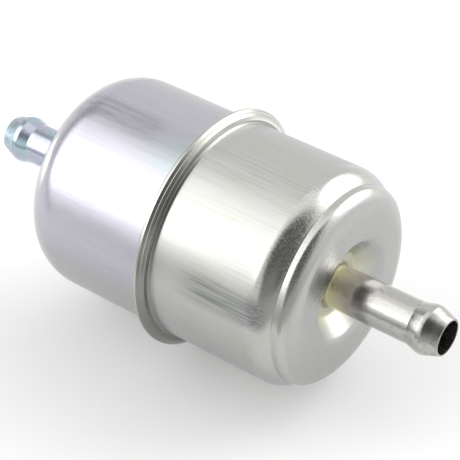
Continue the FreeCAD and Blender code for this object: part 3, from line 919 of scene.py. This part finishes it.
def cured_adhesive():
    """Amber adhesive that settled level, with small bubbles under a glossy skin."""
    f = Finish("cured_adhesive", {"Subsurface Weight": 0.25, "Subsurface Radius": (0.002, 0.001, 0.0004)})
    bubbles = add(f.tree, "TexVoronoi", {"Vector": f.place, "Scale": BUBBLES_PER_METRE}, "Distance")
    flow = f.grain(*ADHESIVE_FLOW)
    f.bump(f.rise(bubbles, *BUBBLE_EDGE), BUBBLE_DEPTH)
    f.bump(flow, ADHESIVE_FLOW_DEPTH)
    f.set({
        "Base Color": f.mix(f.rise(flow, *BROADLY_PATCHY), rgb(0.42, 0.25, 0.08), rgb(0.6, 0.42, 0.18)),
        "Roughness": f.spread(flow, 0.2, 0.4),
    })
    return f


def filter_paper():
    """Resin-treated paper: long fibres, crepe ribs along the pleats and uneven resin."""
    f = Finish("filter_paper", {"Subsurface Weight": 0.1, "Subsurface Radius": (0.001, 0.0008, 0.0004)})
    fibres = f.grain(*FIBRE, detail=4.0)
    resin = f.grain(RESIN_PATCH, RESIN_PATCH, detail=3.0, seed=2.0)
    ribs = add(f.tree, "TexWave", {"Vector": f.place, "Scale": RIBS_PER_METRE, "Distortion": RIB_WANDER},
               "Fac", bands_direction="X")
    f.bump(ribs, RIB_DEPTH)
    f.bump(fibres, FIBRE_DEPTH)
    base = f.mix(f.rise(resin, *BROADLY_PATCHY), rgb(0.72, 0.6, 0.36), rgb(0.82, 0.74, 0.52))
    strands = f.product(f.rise(fibres, *FIBRE_EDGE), FIBRE_STRENGTH)
    f.set({
        "Base Color": f.mix(strands, base, rgb(0.55, 0.42, 0.22)),
        "Roughness": f.spread(fibres, 0.75, 0.95),
    })
    return f


def strainer_weave():
    """Fine plastic mesh: threads along the axis and round it, dark between them."""
    f = Finish("strainer_weave", {})
    warp = f.maths("SINE", f.maths("MULTIPLY", f.x, 2 * math.pi / WEAVE_PITCH))
    weft = f.maths("SINE", f.maths("MULTIPLY", f.around(), WEAVE_THREADS_AROUND))
    thread = f.rise(f.maths("MAXIMUM", warp, weft), *WEAVE_EDGE)
    f.bump(thread, WEAVE_DEPTH)
    f.set({
        "Base Color": f.mix(thread, rgb(0.12, 0.12, 0.11), rgb(0.78, 0.78, 0.74)),
        "Roughness": f.spread(thread, 0.7, 0.4),
    })
    return f


# ---- the pieces and what they are finished in ----
inlet_cup = make_inlet_shell()
outlet_cup = make_outlet_shell()
inlet_tube = make_nipple("inlet_tube", -1, "inlet_nipple", INLET_FACE_X + SHEET)
outlet_tube = make_nipple("outlet_tube", 1, "outlet_nipple", OUTLET_FACE_X - RECESS_DEPTH - SHEET)
inlet_braze = make_braze("inlet_braze", -1, "inlet_braze_ring")
outlet_braze = make_braze("outlet_braze", 1, "outlet_braze_ring")
coil_spring = make_spring("coil_spring", "element_spring")

paint(cool_sheet(), inlet_cup)
paint(warm_sheet(), outlet_cup)
paint(inlet_plating(), inlet_tube)
paint(outlet_plating(), outlet_tube)
paint(braze_metal(), inlet_braze, outlet_braze)
paint(spring_wire(), coil_spring)
paint(pressed_steel(), nodes["spring_seat"], nodes["closed_end_cap"], nodes["open_end_cap"],
      nodes["paper_seam_clip"], nodes["centre_tube"])
paint(rubber("gasket_rubber", rgb(0.03, 0.03, 0.03), rgb(0.08, 0.08, 0.085)), nodes["seam_gasket"])
paint(rubber("seal_rubber", rgb(0.02, 0.02, 0.02), rgb(0.06, 0.06, 0.06)), nodes["element_seal"])
paint(cured_adhesive(), nodes["closed_potting"], nodes["open_potting"],
      nodes["inlet_pleat_band"], nodes["outlet_pleat_band"])
paint(filter_paper(), nodes["pleated_paper"])
paint(strainer_weave(), nodes["core_strainer"])

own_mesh(coil_spring)


# ---- floor, light and background ----
def make_floor():
    """Plain pale floor that just touches the rim. In front of the filter it is darker, as if
    flagged off from the lamps, to everything but the camera."""
    z = CAD_BOX[0][2]
    verts = [(-FLOOR_REACH, -FLOOR_REACH, z), (FLOOR_REACH, -FLOOR_REACH, z),
             (FLOOR_REACH, FLOOR_REACH, z), (-FLOOR_REACH, FLOOR_REACH, z)]
    mesh = bpy.data.meshes.new("floor")
    mesh.from_pydata(verts, [], [(0, 1, 2, 3)])
    floor = bpy.data.objects.new("floor", mesh)
    bpy.context.scene.collection.objects.link(floor)
    f = Finish("floor_paint", {"Roughness": 0.9, "Emission Color": rgb(1, 1, 1)})
    away = f.maths("ADD", f.maths("MULTIPLY", f.x, FLAG_WAY[0]), f.maths("MULTIPLY", f.y, FLAG_WAY[1]))
    unseen = f.maths("SUBTRACT", 1.0, add(f.tree, "LightPath", {}, "Is Camera Ray"))
    dark = f.product(f.rise(away, *FLAG_EDGE), unseen)
    f.set({
        "Base Color": f.blend(dark, FLOOR_TONE, FLAG_TONE),
        "Emission Strength": f.blend(dark, FLOOR_GLOW, FLAG_TONE),
    })
    paint(f, floor)


def direction(azimuth, elevation):
    """Unit vector: azimuth in degrees from +Y towards +X, elevation in degrees upwards."""
    a = math.radians(azimuth)
    e = math.radians(elevation)
    return (math.sin(a) * math.cos(e), math.cos(a) * math.cos(e), math.sin(e))


def make_world():
    """Soft studio round the object: grey walls with brighter and darker areas that fade out."""
    world = bpy.data.worlds.new("studio")
    world.use_nodes = True
    tree = world.node_tree
    looking = add(tree, "TexCoord", {}, "Generated")
    level = WALL_LEVEL
    for wanted, edges in STUDIO_AREAS:
        cover = None
        for (azimuth, elevation), full, none in edges:
            cosine = add(tree, "VectorMath", {0: looking, 1: direction(azimuth, elevation)}, "Value",
                         operation="DOT_PRODUCT")
            inside = add(tree, "MapRange", {
                "Value": cosine,
                "From Min": math.cos(math.radians(none)),
                "From Max": math.cos(math.radians(full)),
            }, interpolation_type="SMOOTHSTEP")
            cover = add(tree, "Math", {0: cover, 1: inside}, operation="MULTIPLY") if cover else inside
        level = add(tree, "Mix", {0: cover, 2: level, 3: wanted}, 0)
    seen = add(tree, "LightPath", {}, "Is Camera Ray")
    strength = add(tree, "Mix", {0: seen, 2: level, 3: 1.0}, 0)
    feed(tree, tree.nodes["Background"].inputs["Color"], rgb(1, 1, 1))
    feed(tree, tree.nodes["Background"].inputs["Strength"], strength)
    bpy.context.scene.world = world


def make_low_light():
    """Small soft light near the floor beyond the inlet, which catches the edge of the dome."""
    width, height = LOW_LIGHT_SIZE
    data = bpy.data.lights.new("low_light", "AREA")
    data.shape = "RECTANGLE"
    data.size = width
    data.size_y = height
    data.energy = LOW_LIGHT_LEVEL * math.pi * width * height   # watts that give this brightness
    light = bpy.data.objects.new("low_light", data)
    place = Vector(LOW_LIGHT_PLACE)
    light.matrix_world = Matrix.Translation(place) @ place.to_track_quat("Z", "Y").to_matrix().to_4x4()
    light.visible_camera = False
    bpy.context.scene.collection.objects.link(light)


make_floor()
make_world()
make_low_light()
bpy.context.scene.view_settings.view_transform = "Standard"


def make_camera():
    """Long lens, looking down on the outlet end."""
    right = Vector((math.cos(AZIMUTH), math.sin(AZIMUTH), 0))
    back = Vector((
        math.sin(AZIMUTH) * math.cos(ELEVATION),
        -math.cos(AZIMUTH) * math.cos(ELEVATION),
        math.sin(ELEVATION),
    ))
    up = back.cross(right)
    data = bpy.data.cameras.new("camera")
    data.lens = LENS_MM
    data.sensor_width = SENSOR_MM
    data.clip_start = 0.01
    camera = bpy.data.objects.new("camera", data)
    place = back * CAMERA_DISTANCE + right * CAMERA_SLIDE[0] + up * CAMERA_SLIDE[1]
    camera.matrix_world = Matrix.Translation(place) @ Matrix((right, up, back)).transposed().to_4x4()
    bpy.context.scene.collection.objects.link(camera)
    bpy.context.scene.camera = camera


make_camera()
